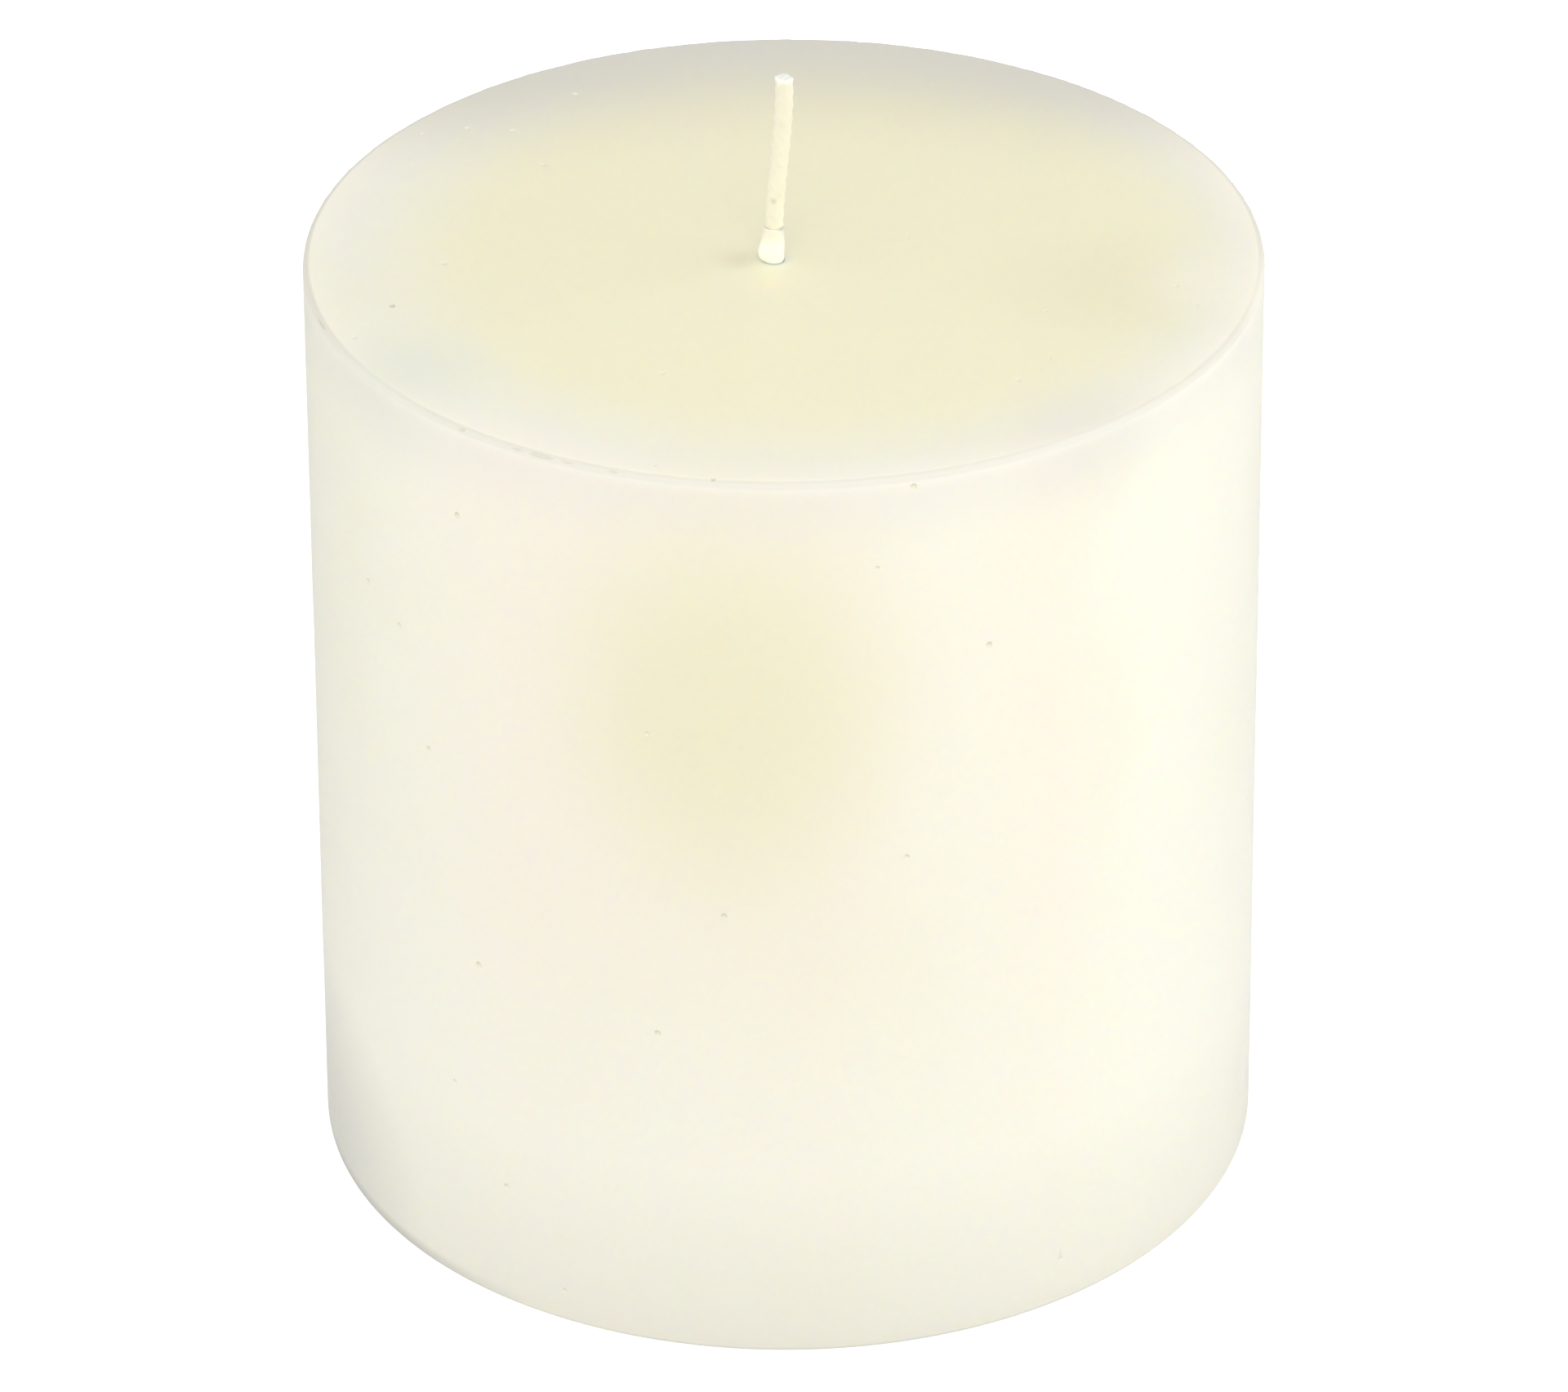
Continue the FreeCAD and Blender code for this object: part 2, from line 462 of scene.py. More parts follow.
bpy.ops.mesh.bisect(
    plane_co=(WICK_RADIUS, 0, straight_length),
    plane_no=(-CUT_SLANT, 0, 1),
    use_fill=True,
    clear_outer=True,
)
bpy.ops.object.mode_set(mode="OBJECT")
melt = wick.modifiers.new("melt", "REMESH")
melt.mode = "VOXEL"
melt.voxel_size = VOXEL
soften = wick.modifiers.new("soften", "SMOOTH")
soften.factor = 0.5
soften.iterations = 5
apply_modifiers(wick)
print("wick", len(wick.data.polygons), "faces, box", in_mm(wick.dimensions))

# %% [markdown]
# The wick stands straight in the wax, leans to the right in a flat S and ends upright. A Bezier
# curve with upright handles draws that line, and a Curve modifier lays the straight wick along it.

# %% Bend of the wick
BEND_START = BODY_HEIGHT + 2.4 * MM
BEND_END = WICK_TOP - 1.1 * MM
WICK_LEAN = Vector((0.8, 0, 0)) * MM
HANDLE = (BEND_END - BEND_START) / 3
bpy.ops.object.select_all(action="DESELECT")
bpy.ops.curve.primitive_bezier_curve_add(radius=1.0, location=(0, 0, 0))
line = bpy.context.object
line.data.twist_mode = "MINIMUM"
line.data.resolution_u = 24
spline = line.data.splines[0]
spline.bezier_points.add(2)
stations = [
    WICK_FOOT + UP * WICK_BOTTOM,
    WICK_FOOT + UP * BEND_START,
    WICK_FOOT + WICK_LEAN + UP * BEND_END,
    WICK_FOOT + WICK_LEAN + UP * (WICK_TOP + 1 * MM),
]
for knot, station in zip(spline.bezier_points, stations):
    knot.handle_left_type = knot.handle_right_type = "FREE"
    knot.co = station
    knot.handle_left = station - UP * HANDLE
    knot.handle_right = station + UP * HANDLE
bend = wick.modifiers.new("bend", "CURVE")
bend.object = line
bend.deform_axis = "POS_Z"
apply_modifiers(wick)
bpy.data.objects.remove(line)
bpy.ops.object.shade_smooth()
wick_points = [v.co for v in wick.data.vertices]
tip = [p.x for p in wick_points if p.z > BEND_END]
print("wick z", in_mm((min(p.z for p in wick_points), max(p.z for p in wick_points))))
print("tip x", in_mm((min(tip), max(tip))))

# %% [markdown]
# ## The drop at the wick's foot
# When the wick was dipped, wax ran down it and set as a little ball that leans to the wick's left
# and thins out into a collar above. It starts as a short cylinder. Its end face is grown into
# rings, each lying a little off the wick, then turned in and down along the wick, and a bridge
# closes the ring. A Subdivision Surface rounds it and a faint relief makes it uneven. Each ring is
# given in millimetres: its height above the wax, and how thick the drop is on the wick's left and
# elsewhere.

# %% Drop
DROP_SEGMENTS = 32
DROP_FOOT, DROP_TOE = (0, 0.18, 0.03), (0.05, 0.24, 0.03)
DROP_PROFILE = [
    (0.2, 0.42, 0.06), (0.45, 0.55, 0.08), (0.75, 0.585, 0.08), (1.05, 0.53, 0.08),
    (1.35, 0.42, 0.08), (1.7, 0.3, 0.08), (2.1, 0.2, 0.07), (2.5, 0.12, 0.06),
    (2.88, 0.05, 0.05),
]
INSIDE_HEIGHTS = (2.88, 2.2, 1.5, 0.8, 0.3, 0.1)
INSIDE_RADIUS = WICK_RADIUS + 0.01 * MM
DROP_GRAIN = (0.7 * MM, 0.07 * MM)
CALM_TOE = 0.15 * MM


def drop_ring(height, left, film):
    """A ring of the drop, from its height above the wax and its thicknesses in millimetres."""
    radius = WICK_RADIUS + (left + film) / 2 * MM
    shift = Vector(((film - left) / 2 * MM, 0, 0))
    return radius, BODY_HEIGHT + height * MM, WICK_FOOT + shift


foot_radius, foot_height, foot_axis = drop_ring(*DROP_FOOT)
toe_height = drop_ring(*DROP_TOE)[1]
drop = start_piece(
    "wax_drop_at_wick",
    bpy.ops.mesh.primitive_cylinder_add,
    vertices=DROP_SEGMENTS,
    radius=foot_radius,
    depth=toe_height - foot_height,
    location=foot_axis + UP * (toe_height + foot_height) / 2,
)
bpy.ops.object.mode_set(mode="EDIT")
pick_faces(flat_at(toe_height))
grow_rings([drop_ring(*ring) for ring in DROP_PROFILE])
grow_rings([(INSIDE_RADIUS, BODY_HEIGHT + h * MM, WICK_FOOT) for h in INSIDE_HEIGHTS])
pick_faces(flat_at(BODY_HEIGHT))
bpy.ops.mesh.inset(thickness=0.12 * MM)
print("end faces of the drop", pick_faces(lambda f: len(f.verts) == DROP_SEGMENTS))
bpy.ops.mesh.bridge_edge_loops()
bpy.ops.object.mode_set(mode="OBJECT")
rounding = drop.modifiers.new("rounding", "SUBSURF")
rounding.levels = rounding.render_levels = 2
apply_modifiers(drop)
add_relief(drop, "uneven_drop", DROP_GRAIN, lambda p: float(p.z > BODY_HEIGHT + CALM_TOE))
apply_modifiers(drop)
bpy.ops.object.shade_smooth()
print("drop", len(drop.data.polygons), "faces, box", in_mm(drop.dimensions))

# %% [markdown]
# ## Where the pieces ride
# Nothing on a candle moves, so every new piece rides on the one body. Each new piece stands for its
# solid. The tab keeps its solid, because its turned shape is right, and only gets a finish.

# %% Ride and replace
for piece, node, slot in (
    (wax, "wax_body", "ivory_wax"),
    (wick, "wick", "waxed_cotton"),
    (drop, "wax_drop", "white_wax"),
):
    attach(piece, "root")
    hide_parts(node)

# %% [markdown]
# ## Finishes
# Each finish is a tree of nodes on the Principled shader. Colours are picked as sRGB hex values and
# turned into the linear numbers that Blender works with. One helper adds a node with its settings
# and links, another puts values or links on inputs. A pattern's scale is one over its real size.

# %% Helpers for finishes
PARAFFIN_IOR = 1.43


def linear(hex_colour):
    """An sRGB hex colour as linear numbers with an alpha of one."""
    channels = [int(hex_colour[i : i + 2], 16) / 255 for i in (1, 3, 5)]
    straight = [c / 12.92 if c <= 0.04045 else ((c + 0.055) / 1.055) ** 2.4 for c in channels]
    return (*straight, 1)


def set_inputs(target, inputs):
    """Puts each value on its input, or links it where it is another node's output."""
    for name, value in inputs.items():
        if isinstance(value, bpy.types.NodeSocket):
            target.id_data.links.new(value, target.inputs[name])
        else:
            target.inputs[name].default_value = value


def add_node(tree, kind, inputs, output=0, **settings):
    """Adds a node of that kind with its settings and inputs, and gives its output."""
    made = tree.nodes.new(kind)
    for name, value in settings.items():
        setattr(made, name, value)
    set_inputs(made, inputs)
    return made.outputs[output]


def start_finish(finish):
    """Opens a material for nodes and gives its tree, its shader and the object's coordinates."""
    finish.use_nodes = True
    tree = finish.node_tree
    place = add_node(tree, "ShaderNodeTexCoord", {}, output="Object")
    return tree, tree.nodes["Principled BSDF"], place


# %% [markdown]
# ### Ivory paraffin wax
# Refined paraffin with a little stearin, pressed in a die. Light goes several millimetres into it
# and comes out again, so it has no hard shade, and the light it gives back is honey-cream over the
# thick middle and paler towards the side. A mix over the distance from the middle paints that light
# into the colour, and the middle of the thick part lies 2 mm right of the axis. Further mixes need
# the height and the distance from the top edge.

# %% Ivory paraffin wax
tree, shader, place = start_finish(wax_finish)
across, backwards, height = (
    add_node(tree, "ShaderNodeSeparateXYZ", {0: place}, output=axis) for axis in "XYZ"
)
in_plan = add_node(
    tree, "ShaderNodeVectorMath", {0: place, 1: (1, 1, 0)}, operation="MULTIPLY"
)
from_axis, from_middle = (
    add_node(
        tree,
        "ShaderNodeVectorMath",
        {0: in_plan, 1: (middle * MM, 0, 0)},
        output="Value",
        operation="DISTANCE",
    )
    for middle in (0, 2)
)
# painted light: the light the wax gives back is honey-cream in the middle and paler towards the
# side
painted_light_towards_wall = add_node(
    tree,
    "ShaderNodeMapRange",
    {"Value": from_middle, "From Min": 24 * MM, "From Max": 36.5 * MM},
    interpolation_type="SMOOTHSTEP",
)
wax_colour = add_node(
    tree,
    "ShaderNodeMix",
    {"Factor": painted_light_towards_wall, "A": linear("#eeeacb"), "B": linear("#edebde")},
    output="Result",
    data_type="RGBA",
)
beyond_rim, above_rim = (
    add_node(tree, "ShaderNodeMath", {0: measure, 1: limit}, operation="SUBTRACT")
    for measure, limit in ((from_axis, TOP_RADIUS), (height, BODY_HEIGHT))
)
off_edge = add_node(tree, "ShaderNodeCombineXYZ", {"X": beyond_rim, "Y": above_rim})
edge_distance = add_node(
    tree, "ShaderNodeVectorMath", {0: off_edge}, output="Value", operation="LENGTH"
)
print(wax_finish.name, "colour of the wax itself:", len(tree.nodes), "nodes")

# %% [markdown]
# Upright stripes of painted light and shade run down the side: a peach tone where the softboxes
# light it least, pale where they light it most. A ColorRamp over the angle round the axis draws
# them. Each band is given by its azimuth from the front, in degrees, and the strength of the peach.

# %% Painted light and shade down the side
# painted light and shade: pale where the side is lit, peach where it is in shade
LIT_PALE, SHADED_PEACH = linear("#f1f0e1"), linear("#f1ebdd")
LIGHT_AND_SHADE_BANDS = [
    (-180, 0.3), (-140, 0.7), (-100, 0.15), (-55, 0.3), (-32, 1.0), (-12, 0.8), (4, 0.9),
    (12, 0.55), (22, 0.5), (33, 0.9), (48, 0.1), (95, 0.2), (125, 0.7), (180, 0.3),
]
forwards = add_node(tree, "ShaderNodeMath", {0: backwards, 1: -1.0}, operation="MULTIPLY")
angle = add_node(tree, "ShaderNodeMath", {0: across, 1: forwards}, operation="ARCTAN2")
round_the_side = add_node(
    tree,
    "ShaderNodeMapRange",
    {"Value": angle, "From Min": -math.pi, "From Max": math.pi},
)
bands = add_node(tree, "ShaderNodeValToRGB", {"Fac": round_the_side}, output="Color")
ramp = bands.node.color_ramp
for azimuth, strength in LIGHT_AND_SHADE_BANDS[1:-1]:
    ramp.elements.new((azimuth + 180) / 360)
for stop, (azimuth, strength) in zip(ramp.elements, LIGHT_AND_SHADE_BANDS):
    stop.color = [pale + (peach - pale) * strength for pale, peach in zip(LIT_PALE, SHADED_PEACH)]
on_side = add_node(
    tree,
    "ShaderNodeMapRange",
    {"Value": from_axis, "From Min": 33 * MM, "From Max": 36.2 * MM},
    interpolation_type="SMOOTHSTEP",
)
wax_colour = add_node(
    tree,
    "ShaderNodeMix",
    {"Factor": on_side, "A": wax_colour, "B": bands},
    output="Result",
    data_type="RGBA",
)
print("bands", len(ramp.elements), "stops")

# %% [markdown]
# Painted light makes the thin top edge whiter again, for 5 mm inwards and less than one downwards,
# where light comes through the thin wax. In front, below the rim, a spot of painted shade in the
# core's honey tone, a few centimetres wide and higher than it is wide, stands where the side is lit
# least. Broad clouds stand for wax that set unevenly, and below half height painted light from the
# table below makes the wax a little whiter. Each of these is a factor between nought and one, and a
# loop then mixes its tone in.

# %% Painted light at the top edge, painted shade spot, clouds and painted light lower down
on_top = add_node(
    tree,
    "ShaderNodeMapRange",
    {"Value": height, "From Min": BODY_HEIGHT - 0.8 * MM, "From Max": BODY_HEIGHT, "To Max": 0.8},
)
# painted light: the thin top edge is whiter where light comes through it
painted_light_near_edge = add_node(
    tree,
    "ShaderNodeMapRange",
    {"Value": edge_distance, "From Max": 5 * MM, "To Min": on_top, "To Max": 0.0},
    interpolation_type="SMOOTHSTEP",
)
# painted shade: a honey spot in front, where the side is lit least
from_shade_spot = add_node(
    tree,
    "ShaderNodeVectorMath",
    {0: place, 1: (-4.3 * MM, -36.3 * MM, 57 * MM)},
    operation="SUBTRACT",
)
shade_spot_sizes = add_node(
    tree,
    "ShaderNodeVectorMath",
    {0: from_shade_spot, 1: (1 / (19 * MM), 1 / (19 * MM), 1 / (24 * MM))},
    operation="MULTIPLY",
)
shade_spot_distance = add_node(
    tree, "ShaderNodeVectorMath", {0: shade_spot_sizes}, output="Value", operation="LENGTH"
)
painted_shade_spot = add_node(
    tree,
    "ShaderNodeMapRange",
    {"Value": shade_spot_distance, "From Min": 0.15, "From Max": 1.0, "To Min": 0.9, "To Max": 0.0},
    interpolation_type="SMOOTHSTEP",
)
cloud_noise = add_node(
    tree,
    "ShaderNodeTexNoise",
    {"Vector": place, "Scale": 1 / (22 * MM), "Detail": 2.0, "Roughness": 0.5},
    output="Fac",
)
in_cloud = add_node(
    tree,
    "ShaderNodeMapRange",
    {"Value": cloud_noise, "From Min": 0.42, "From Max": 0.72, "To Min": 0.0, "To Max": 0.3},
    interpolation_type="SMOOTHSTEP",
)
# painted light from the table below: the wax is whiter below half height
painted_light_lower_down = add_node(
    tree,
    "ShaderNodeMapRange",
    {"Value": height, "From Min": 15 * MM, "From Max": 42 * MM, "To Min": 0.6, "To Max": 0.0},
    interpolation_type="SMOOTHSTEP",
)
for factor, tone in (
    (painted_light_near_edge, "#f1ede0"),
    (painted_shade_spot, "#e9e5c8"),
    (in_cloud, "#ede9d1"),
    (painted_light_lower_down, "#f3f1e4"),
):
    wax_colour = add_node(
        tree,
        "ShaderNodeMix",
        {"Factor": factor, "A": wax_colour, "B": linear(tone)},
        output="Result",
        data_type="RGBA",
    )
print("tones of sound wax:", len(tree.nodes), "nodes")

# %% [markdown]
# The rest is wear and painted shade. The sharp rim is rubbed all round, rougher, and painted shade
# darkens it to a dull line; painted shade also greys the wax just below it a little. More painted
# shade greys the back of the rim, where less light gets into the wax, and the foot, most at the
# foot's left, where a painted contact shadow darkens its edge.

# %% Worn rim and painted shade
# painted shade: the rounded rim is darkened to a dull line
rim_painted_shade_line, rubbed = (
    add_node(
        tree,
        "ShaderNodeMapRange",
        {
            "Value": edge_distance,
            "From Min": 0.3 * MM,
            "From Max": reach * MM,
            "To Min": 1.0,
            "To Max": 0.0,
        },
        interpolation_type="SMOOTHSTEP",
    )
    for reach in (0.6, 1.3)
)
off_top = add_node(
    tree,
    "ShaderNodeMapRange",
    {
        "Value": height,
        "From Min": BODY_HEIGHT - 0.5 * MM,
        "From Max": BODY_HEIGHT - 0.1 * MM,
        "To Min": 0.35,
        "To Max": 0.0,
    },
)
# painted shade: the side just below the rim is a little grey
painted_shade_below_rim = add_node(
    tree,
    "ShaderNodeMapRange",
    {
        "Value": height,
        "From Min": BODY_HEIGHT - 7 * MM,
        "From Max": BODY_HEIGHT - 1 * MM,
        "To Max": off_top,
    },
    interpolation_type="SMOOTHSTEP",
)
# painted shade: the back of the rim is greyer, where less light gets into the wax
at_back = add_node(
    tree,
    "ShaderNodeMapRange",
    {"Value": forwards, "From Min": -10 * MM, "From Max": -30 * MM},
    interpolation_type="SMOOTHSTEP",
)
at_rim = add_node(
    tree,
    "ShaderNodeMapRange",
    {"Value": edge_distance, "From Max": 20 * MM, "To Min": 0.64, "To Max": 0.0},
)
painted_shade_back_rim = add_node(tree, "ShaderNodeMath", {0: at_back, 1: at_rim}, operation="MULTIPLY")

# %% [markdown]
# Round the foot the painted shade fades out upwards. At the foot's left there are two places more:
# one for painted shade on the side above, and one that limits the painted contact shadow along the
# edge. Each is given by its centre, by the distances from which it fades and at which it ends, in
# millimetres, and by its strength.

# %% Painted shade and contact shadow at the foot
# painted shade: the foot is greyer, fading out upwards
painted_shade_at_foot = add_node(
    tree,
    "ShaderNodeMapRange",
    {"Value": height, "From Min": 0.0, "From Max": 16 * MM, "To Min": 0.5, "To Max": 0.0},
)
# painted shade on the side above the foot's left, and the reach of the painted contact shadow
painted_shade_left_foot, contact_shadow_reach = (
    add_node(
        tree,
        "ShaderNodeMapRange",
        {
            "Value": add_node(
                tree,
                "ShaderNodeVectorMath",
                {0: place, 1: Vector(centre) * MM},
                output="Value",
                operation="DISTANCE",
            ),
            "From Min": start * MM,
            "From Max": end * MM,
            "To Min": strength,
            "To Max": 0.0,
        },
    )
    for centre, start, end, strength in (
        ((-35.5, -9, 2), 2, 16.5, 0.6),
        ((-32, -18, 0), 5, 18, 0.75),
    )
)
# painted contact shadow: a dark line along the base edge at the foot's left
painted_contact_shadow_line = add_node(
    tree,
    "ShaderNodeMapRange",
    {
        "Value": height,
        "From Min": 0.2 * MM,
        "From Max": 1.3 * MM,
        "To Min": contact_shadow_reach,
        "To Max": 0.0,
    },
)
for factor, tone in (
    (rim_painted_shade_line, "#dddacd"),
    (painted_shade_below_rim, "#e3e1dc"),
    (painted_shade_back_rim, "#c4c1b9"),
    (painted_shade_at_foot, "#dcdacd"),
    (painted_shade_left_foot, "#c8c8c0"),
    (painted_contact_shadow_line, "#a9a9a4"),
):
    wax_colour = add_node(
        tree,
        "ShaderNodeMix",
        {"Factor": factor, "A": wax_colour, "B": linear(tone)},
        output="Result",
        data_type="RGBA",
    )
print("with the wear:", len(tree.nodes), "nodes")

# %% [markdown]
# Beside the wick's foot the top has a painted shadow of the drop to its left, a painted reflection
# of the drop in front of it and painted light round its foot. On the right, the left and the front
# right of the top there are patches of a greyer tone, and a lighter one at the right edge. Each
# patch is given by its centre and its reach, in millimetres, and by its strength and its tone.

# %% Painted shadow, reflection and light by the wick, and tone patches
# painted shadow, reflection and light beside the wick's foot, then patches of tone on the top
PAINTED_LIGHT_AND_TONE_PATCHES = [
    ((-3.4, -1.6, TOP), 2.3, 0.5, "#e6dcbb"),
    ((-1.0, -5.2, TOP), 2.8, 0.5, "#f6ebcb"),
    ((-0.9, -1.5, TOP), 2.4, 0.7, "#f7f4e0"),
    ((24.5, -6.0, TOP), 13.0, 0.35, "#e2dcbd"),
    ((33.0, -5.5, TOP), 9.0, 0.5, "#f5f1e3"),
    ((-28.0, -18.9, TOP), 10.0, 0.5, "#dde2d4"),
    ((23.0, -28.5, TOP), 10.0, 0.35, "#dcd9d3"),
]
for centre, reach, strength, tone in PAINTED_LIGHT_AND_TONE_PATCHES:
    patch_distance = add_node(
        tree,
        "ShaderNodeVectorMath",
        {0: place, 1: Vector(centre) * MM},
        output="Value",
        operation="DISTANCE",
    )
    in_patch = add_node(
        tree,
        "ShaderNodeMapRange",
        {"Value": patch_distance, "From Max": reach * MM, "To Min": strength, "To Max": 0.0},
        interpolation_type="SMOOTHSTEP",
    )
    wax_colour = add_node(
        tree,
        "ShaderNodeMix",
        {"Factor": in_patch, "A": wax_colour, "B": linear(tone)},
        output="Result",
        data_type="RGBA",
    )
print(len(PAINTED_LIGHT_AND_TONE_PATCHES), "light_and_tone_patches")

# %% [markdown]
# The surface is satin: the IOR of paraffin is 1.43, the roughness varies a little and is higher on
# the rubbed top edge, and a fine grain keeps highlights soft. Light goes about a millimetre
# between two scatterings, less in the blue, except on the rubbed edge, where it turns back at once.

# %% Satin surface and light inside
sheen_patches = add_node(
    tree,
    "ShaderNodeTexNoise",
    {"Vector": place, "Scale": 1 / (3 * MM), "Detail": 3.0},
    output="Fac",
)
satin = add_node(
    tree,
    "ShaderNodeMapRange",
    {"Value": sheen_patches, "From Min": 0.3, "From Max": 0.7, "To Min": 0.38, "To Max": 0.5},
)
duller = add_node(tree, "ShaderNodeMath", {0: rubbed, 1: 0.3}, operation="MULTIPLY")
wax_roughness = add_node(tree, "ShaderNodeMath", {0: satin, 1: duller}, operation="ADD")
light_inside = add_node(
    tree, "ShaderNodeMapRange", {"Value": rubbed, "To Min": 1.0, "To Max": 0.15}
)
grain = add_node(
    tree,
    "ShaderNodeTexNoise",
    {"Vector": place, "Scale": 1 / (0.35 * MM), "Detail": 2.0},
    output="Fac",
)
grain_bump = add_node(
    tree,
    "ShaderNodeBump",
    {"Height": grain, "Strength": 0.25, "Distance": 0.02 * MM},
)
set_inputs(
    shader,
    {
        "Base Color": wax_colour,
        "Roughness": wax_roughness,
        "IOR": PARAFFIN_IOR,
        "Normal": grain_bump,
        "Subsurface Weight": light_inside,
        "Subsurface Radius": (1.0, 0.8, 0.4),
        "Subsurface Scale": 1.0 * MM,
    },
)
print(wax_finish.name, len(tree.nodes), "nodes")

# %% [markdown]
# ### Pinholes, dust and nicks
# A pinhole is a broken bubble: rough inside and a shade darker, because little light gets out of
# it. A grain of dust is a dull grey under a film of wax, and the nicks in the rim are darkened with
# painted shade of their dents. All three are diffuse and mottled, with no light going through.

# %% Pinholes, dust and nicks
for finish, light_tone, dark_tone in (
    (pinhole_wax, "#e9e5d2", "#dfdbc6"),
    (dust_grain, "#d8d3c3", "#cbc7b7"),
    # painted shade of the dents darkens the nicks
    (nicked_wax, "#dddacb", "#d1cebf"),
):
    tree, shader, place = start_finish(finish)
    mottle = add_node(
        tree, "ShaderNodeTexNoise", {"Vector": place, "Scale": 1 / (0.15 * MM)}, output="Fac"
    )
    mark_colour = add_node(
        tree,
        "ShaderNodeMix",
        {"Factor": mottle, "A": linear(light_tone), "B": linear(dark_tone)},
        output="Result",
        data_type="RGBA",
    )
    set_inputs(shader, {"Base Color": mark_colour, "Roughness": 0.85, "IOR": PARAFFIN_IOR})
    print(finish.name, len(tree.nodes), "nodes")

# %% [markdown]
# ### Waxed cotton
# Bleached cotton yarn soaked in wax: cream white, a little yellower in patches where the wax lies
# thicker, with a satin shine. The fine fibres of the yarn, 0.02 mm thick, are too small to show, so
# the fibre bump is drawn 0.12 mm wide. The grain of dust that stuck to the wick is a small dark
# spot
# 5 mm above the wax, and the cut end shows whiter cotton.

# %% Waxed cotton
wick_finish = bpy.data.materials.new("waxed_cotton_wick")
wick.data.materials.append(wick_finish)
tree, shader, place = start_finish(wick_finish)
wax_pools = add_node(
    tree,
    "ShaderNodeTexNoise",
    {"Vector": place, "Scale": 1 / (0.9 * MM), "Detail": 3.0},
    output="Fac",
)
wick_colour = add_node(
    tree,
    "ShaderNodeMix",
    {"Factor": wax_pools, "A": linear("#e8e6d4"), "B": linear("#e3dfca")},
    output="Result",
    data_type="RGBA",
)
speck_distance = add_node(
    tree,
    "ShaderNodeVectorMath",
    {0: place, 1: (-0.75 * MM, -2.2 * MM, BODY_HEIGHT + 5.3 * MM)},
    output="Value",
    operation="DISTANCE",
)
in_speck = add_node(
    tree,
    "ShaderNodeMapRange",
    {
        "Value": speck_distance,
        "From Min": 0.08 * MM,
        "From Max": 0.34 * MM,
        "To Min": 0.35,
        "To Max": 0.0,
    },
)
cut_end = add_node(
    tree,
    "ShaderNodeMapRange",
    {
        "Value": add_node(tree, "ShaderNodeSeparateXYZ", {0: place}, output="Z"),
        "From Min": WICK_TOP - 0.6 * MM,
        "From Max": WICK_TOP - 0.15 * MM,
        "To Max": 0.9,
    },
)
for factor, tone in ((in_speck, "#a89f86"), (cut_end, "#f0f1e9")):
    wick_colour = add_node(
        tree,
        "ShaderNodeMix",
        {"Factor": factor, "A": wick_colour, "B": linear(tone)},
        output="Result",
        data_type="RGBA",
    )
along = add_node(
    tree, "ShaderNodeVectorMath", {0: place, 1: (1, 1, 0.25)}, operation="MULTIPLY"
)
fibres = add_node(
    tree,
    "ShaderNodeTexNoise",
    {"Vector": along, "Scale": 1 / (0.12 * MM), "Detail": 2.0},
    output="Fac",
)
fibre_bump = add_node(
    tree,
    "ShaderNodeBump",
    {"Height": fibres, "Strength": 0.35, "Distance": 0.015 * MM},
)
set_inputs(
    shader,
    {
        "Base Color": wick_colour,
        "Roughness": 0.5,
        "IOR": 1.45,
        "Normal": fibre_bump,
        "Subsurface Weight": 1.0,
        "Subsurface Radius": (1.0, 0.9, 0.6),
        "Subsurface Scale": 0.15 * MM,
    },
)
print(wick_finish.name, len(tree.nodes), "nodes")

# %% [markdown]
# ### White wax
# The drop is the wick's own dipping wax, whiter than the body. It is small, so light goes right
# through it and it glows. It set quickly and is a little glossier. Where it thins out up the wick,
# the cotton's tone shows through.

# %% White wax
drop_finish = bpy.data.materials.new("white_dipping_wax")
drop.data.materials.append(drop_finish)
tree, shader, place = start_finish(drop_finish)
milk = add_node(
    tree,
    "ShaderNodeTexNoise",
    {"Vector": place, "Scale": 1 / (0.8 * MM), "Detail": 2.0},
    output="Fac",
)
milk_colour = add_node(
    tree,
    "ShaderNodeMix",
    {"Factor": milk, "A": linear("#f4f7e9"), "B": linear("#eff2e0")},
    output="Result",
    data_type="RGBA",
)
up_the_wick = add_node(
    tree,
    "ShaderNodeMapRange",
    {
        "Value": add_node(tree, "ShaderNodeSeparateXYZ", {0: place}, output="Z"),
        "From Min": BODY_HEIGHT + 1.3 * MM,
        "From Max": BODY_HEIGHT + 2.5 * MM,
    },
    interpolation_type="SMOOTHSTEP",
)
drop_colour = add_node(
    tree,
    "ShaderNodeMix",
    {"Factor": up_the_wick, "A": milk_colour, "B": linear("#e9e6d4")},
    output="Result",
    data_type="RGBA",
)
drop_bump = add_node(
    tree, "ShaderNodeBump", {"Height": milk, "Strength": 0.3, "Distance": 0.05 * MM}
)
set_inputs(
    shader,
    {
        "Base Color": drop_colour,
        "Roughness": 0.3,
        "IOR": PARAFFIN_IOR,
        "Normal": drop_bump,
        "Subsurface Weight": 1.0,
        "Subsurface Radius": (1.0, 1.0, 0.9),
        "Subsurface Scale": 0.1 * MM,
    },
)
print(drop_finish.name, len(tree.nodes), "nodes")

# %% [markdown]
# ### Tinplate
# Thin steel with a coat of tin, rolled in one direction and drawn to a neck. The rolling leaves
# fine parallel streaks, which spread the reflections across them. The real ones are some hundredths
# of a millimetre wide, so they are drawn 0.2 mm wide.

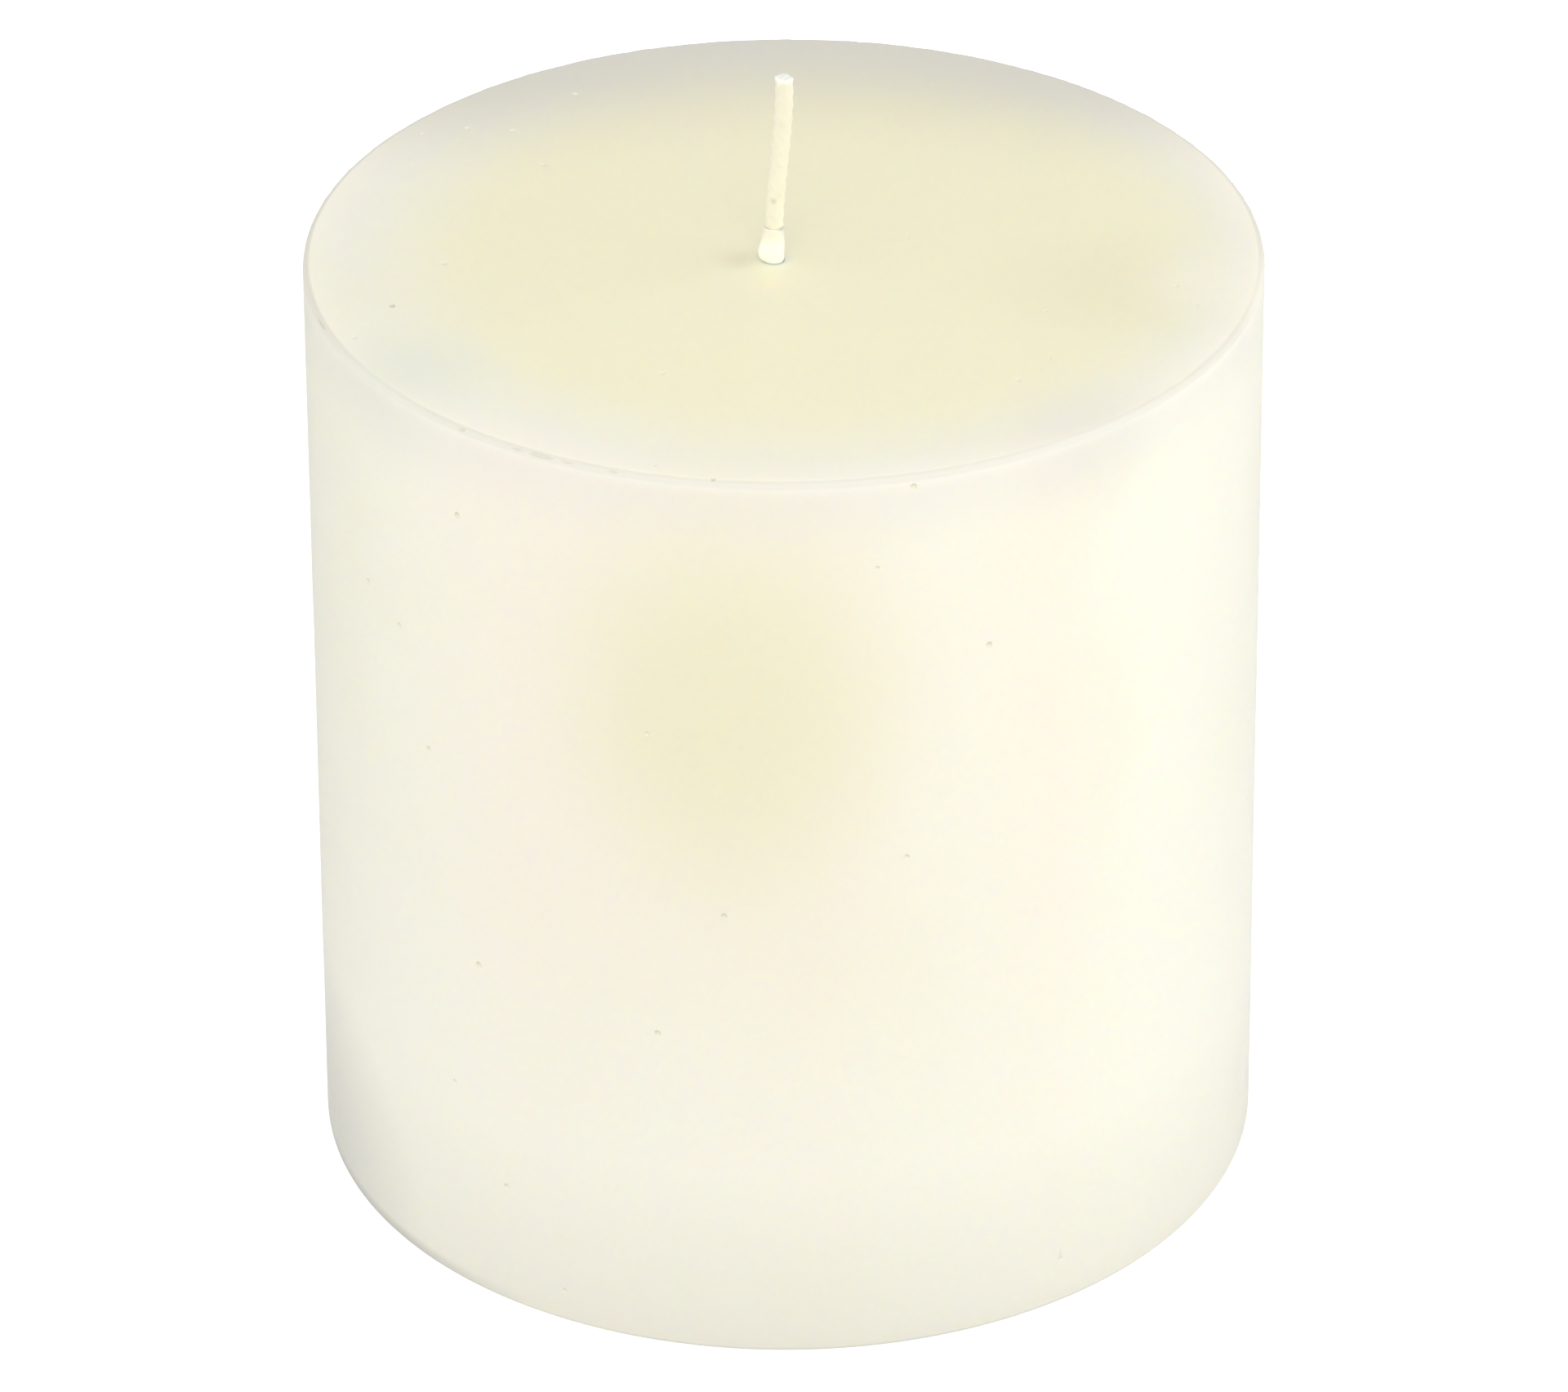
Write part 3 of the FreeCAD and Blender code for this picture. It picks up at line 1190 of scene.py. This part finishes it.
# %% Tinplate
tab_finish = bpy.data.materials.new("drawn_tinplate")
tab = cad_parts["wick_tab"]
tab.data.materials.clear()
tab.data.materials.append(tab_finish)
tree, shader, place = start_finish(tab_finish)
rolled = add_node(
    tree, "ShaderNodeVectorMath", {0: place, 1: (1, 0.03, 1)}, operation="MULTIPLY"
)
streaks = add_node(
    tree,
    "ShaderNodeTexNoise",
    {"Vector": rolled, "Scale": 1 / (0.2 * MM), "Detail": 2.0},
    output="Fac",
)
tin_colour = add_node(
    tree,
    "ShaderNodeMix",
    {"Factor": streaks, "A": linear("#dcdcda"), "B": linear("#c6c6c3")},
    output="Result",
    data_type="RGBA",
)
tin_roughness = add_node(
    tree, "ShaderNodeMapRange", {"Value": streaks, "To Min": 0.2, "To Max": 0.42}
)
tin_bump = add_node(
    tree, "ShaderNodeBump", {"Height": streaks, "Strength": 0.2, "Distance": 0.01 * MM}
)
set_inputs(
    shader,
    {"Base Color": tin_colour, "Metallic": 1.0, "Roughness": tin_roughness, "Normal": tin_bump},
)
print(tab_finish.name, len(tree.nodes), "nodes")

# %% [markdown]
# ## Floor
# The candle stands on a white table that is lit until it burns out to plain white, with no shadow.
# So the floor gets a plain matt white finish and a little glow of its own. A floor as bright as
# that would light up the candle's foot, which the photograph doesn't show, so the floor is seen by
# the camera only, and the soft light from all round stands in for what it gives the candle.

# %% Floor
floor = start_piece("floor", bpy.ops.mesh.primitive_plane_add, size=4.0, location=(0, 0, 0))
floor_finish = bpy.data.materials.new("white_table")
floor.data.materials.append(floor_finish)
tree, shader, place = start_finish(floor_finish)
set_inputs(
    shader,
    {
        "Base Color": linear("#fdfdfd"),
        "Roughness": 0.9,
        "Emission Color": (1, 1, 1, 1),
        "Emission Strength": 0.5,
    },
)
floor.visible_diffuse = floor.visible_glossy = False
floor.visible_transmission = floor.visible_shadow = False
print("floor", [round(side, 2) for side in floor.dimensions], "m")

# %% [markdown]
# ## Camera
# The photograph looks down on the candle by 31 degrees, from 67 cm, with a long lens. The camera
# stands in front, and a third of a degree of roll brings the base level as it is there.

# %% Camera
CAMERA_DISTANCE = 667.2 * MM
CAMERA_ELEVATION = math.radians(30.63)
CAMERA_ROLL = math.radians(-0.31)
TARGET = Vector((-0.16, 0, 36.65)) * MM
camera_data = bpy.data.cameras.new("camera")
camera_data.lens = 195.7
camera_data.sensor_width = 36.0
camera_data.clip_start = 0.01
camera = bpy.data.objects.new("camera", camera_data)
bpy.context.scene.collection.objects.link(camera)
camera.location = TARGET + CAMERA_DISTANCE * Vector(
    (0, -math.cos(CAMERA_ELEVATION), math.sin(CAMERA_ELEVATION))
)
camera.rotation_euler = (math.pi / 2 - CAMERA_ELEVATION, 0, 0)
camera.rotation_euler.rotate_axis("Z", CAMERA_ROLL)
bpy.context.scene.camera = camera
print("camera at", in_mm(camera.location), "mm")

# %% [markdown]
# ## Lights
# Soft light from all round fills half, as the walls of a light tent do. Large softboxes add the
# rest from the left, the front and the right, the right one stronger. A small one near the candle,
# above its front, makes the top a little brighter in front than at the back. Each is given by its
# azimuth from the front, its elevation, its distance and size in millimetres, and its power.

# %% Lights
TENT_LIGHT = 0.61
LIGHT_CENTRE = UP * 50 * MM
SOFTBOXES = [
    ("left", -90, 20, 800, 707, 1.44),
    ("front_left", -45, 20, 800, 707, 1.26),
    ("front", 0, 20, 800, 707, 1.22),
    ("front_right", 45, 20, 800, 707, 1.26),
    ("right", 90, 20, 800, 707, 2.7),
    ("near_front", 0, 50, 350, 200, 0.17),
]
world = bpy.data.worlds.new("studio")
bpy.context.scene.world = world
world.use_nodes = True
set_inputs(world.node_tree.nodes["Background"], {"Color": (1, 1, 1, 1), "Strength": TENT_LIGHT})
for name, azimuth, elevation, distance, size, power in SOFTBOXES:
    softbox = bpy.data.lights.new("softbox_" + name, "AREA")
    softbox.size = size * MM
    softbox.energy = power
    lamp = bpy.data.objects.new("softbox_" + name, softbox)
    lamp.visible_camera = False
    bpy.context.scene.collection.objects.link(lamp)
    turn, rise = math.radians(azimuth), math.radians(elevation)
    direction = Vector(
        (math.sin(turn) * math.cos(rise), -math.cos(turn) * math.cos(rise), math.sin(rise))
    )
    lamp.location = direction * distance * MM + LIGHT_CENTRE
    lamp.rotation_euler = direction.to_track_quat("Z", "Y").to_euler()
bpy.context.scene.view_settings.view_transform = "Standard"
print(len(SOFTBOXES), "softboxes")
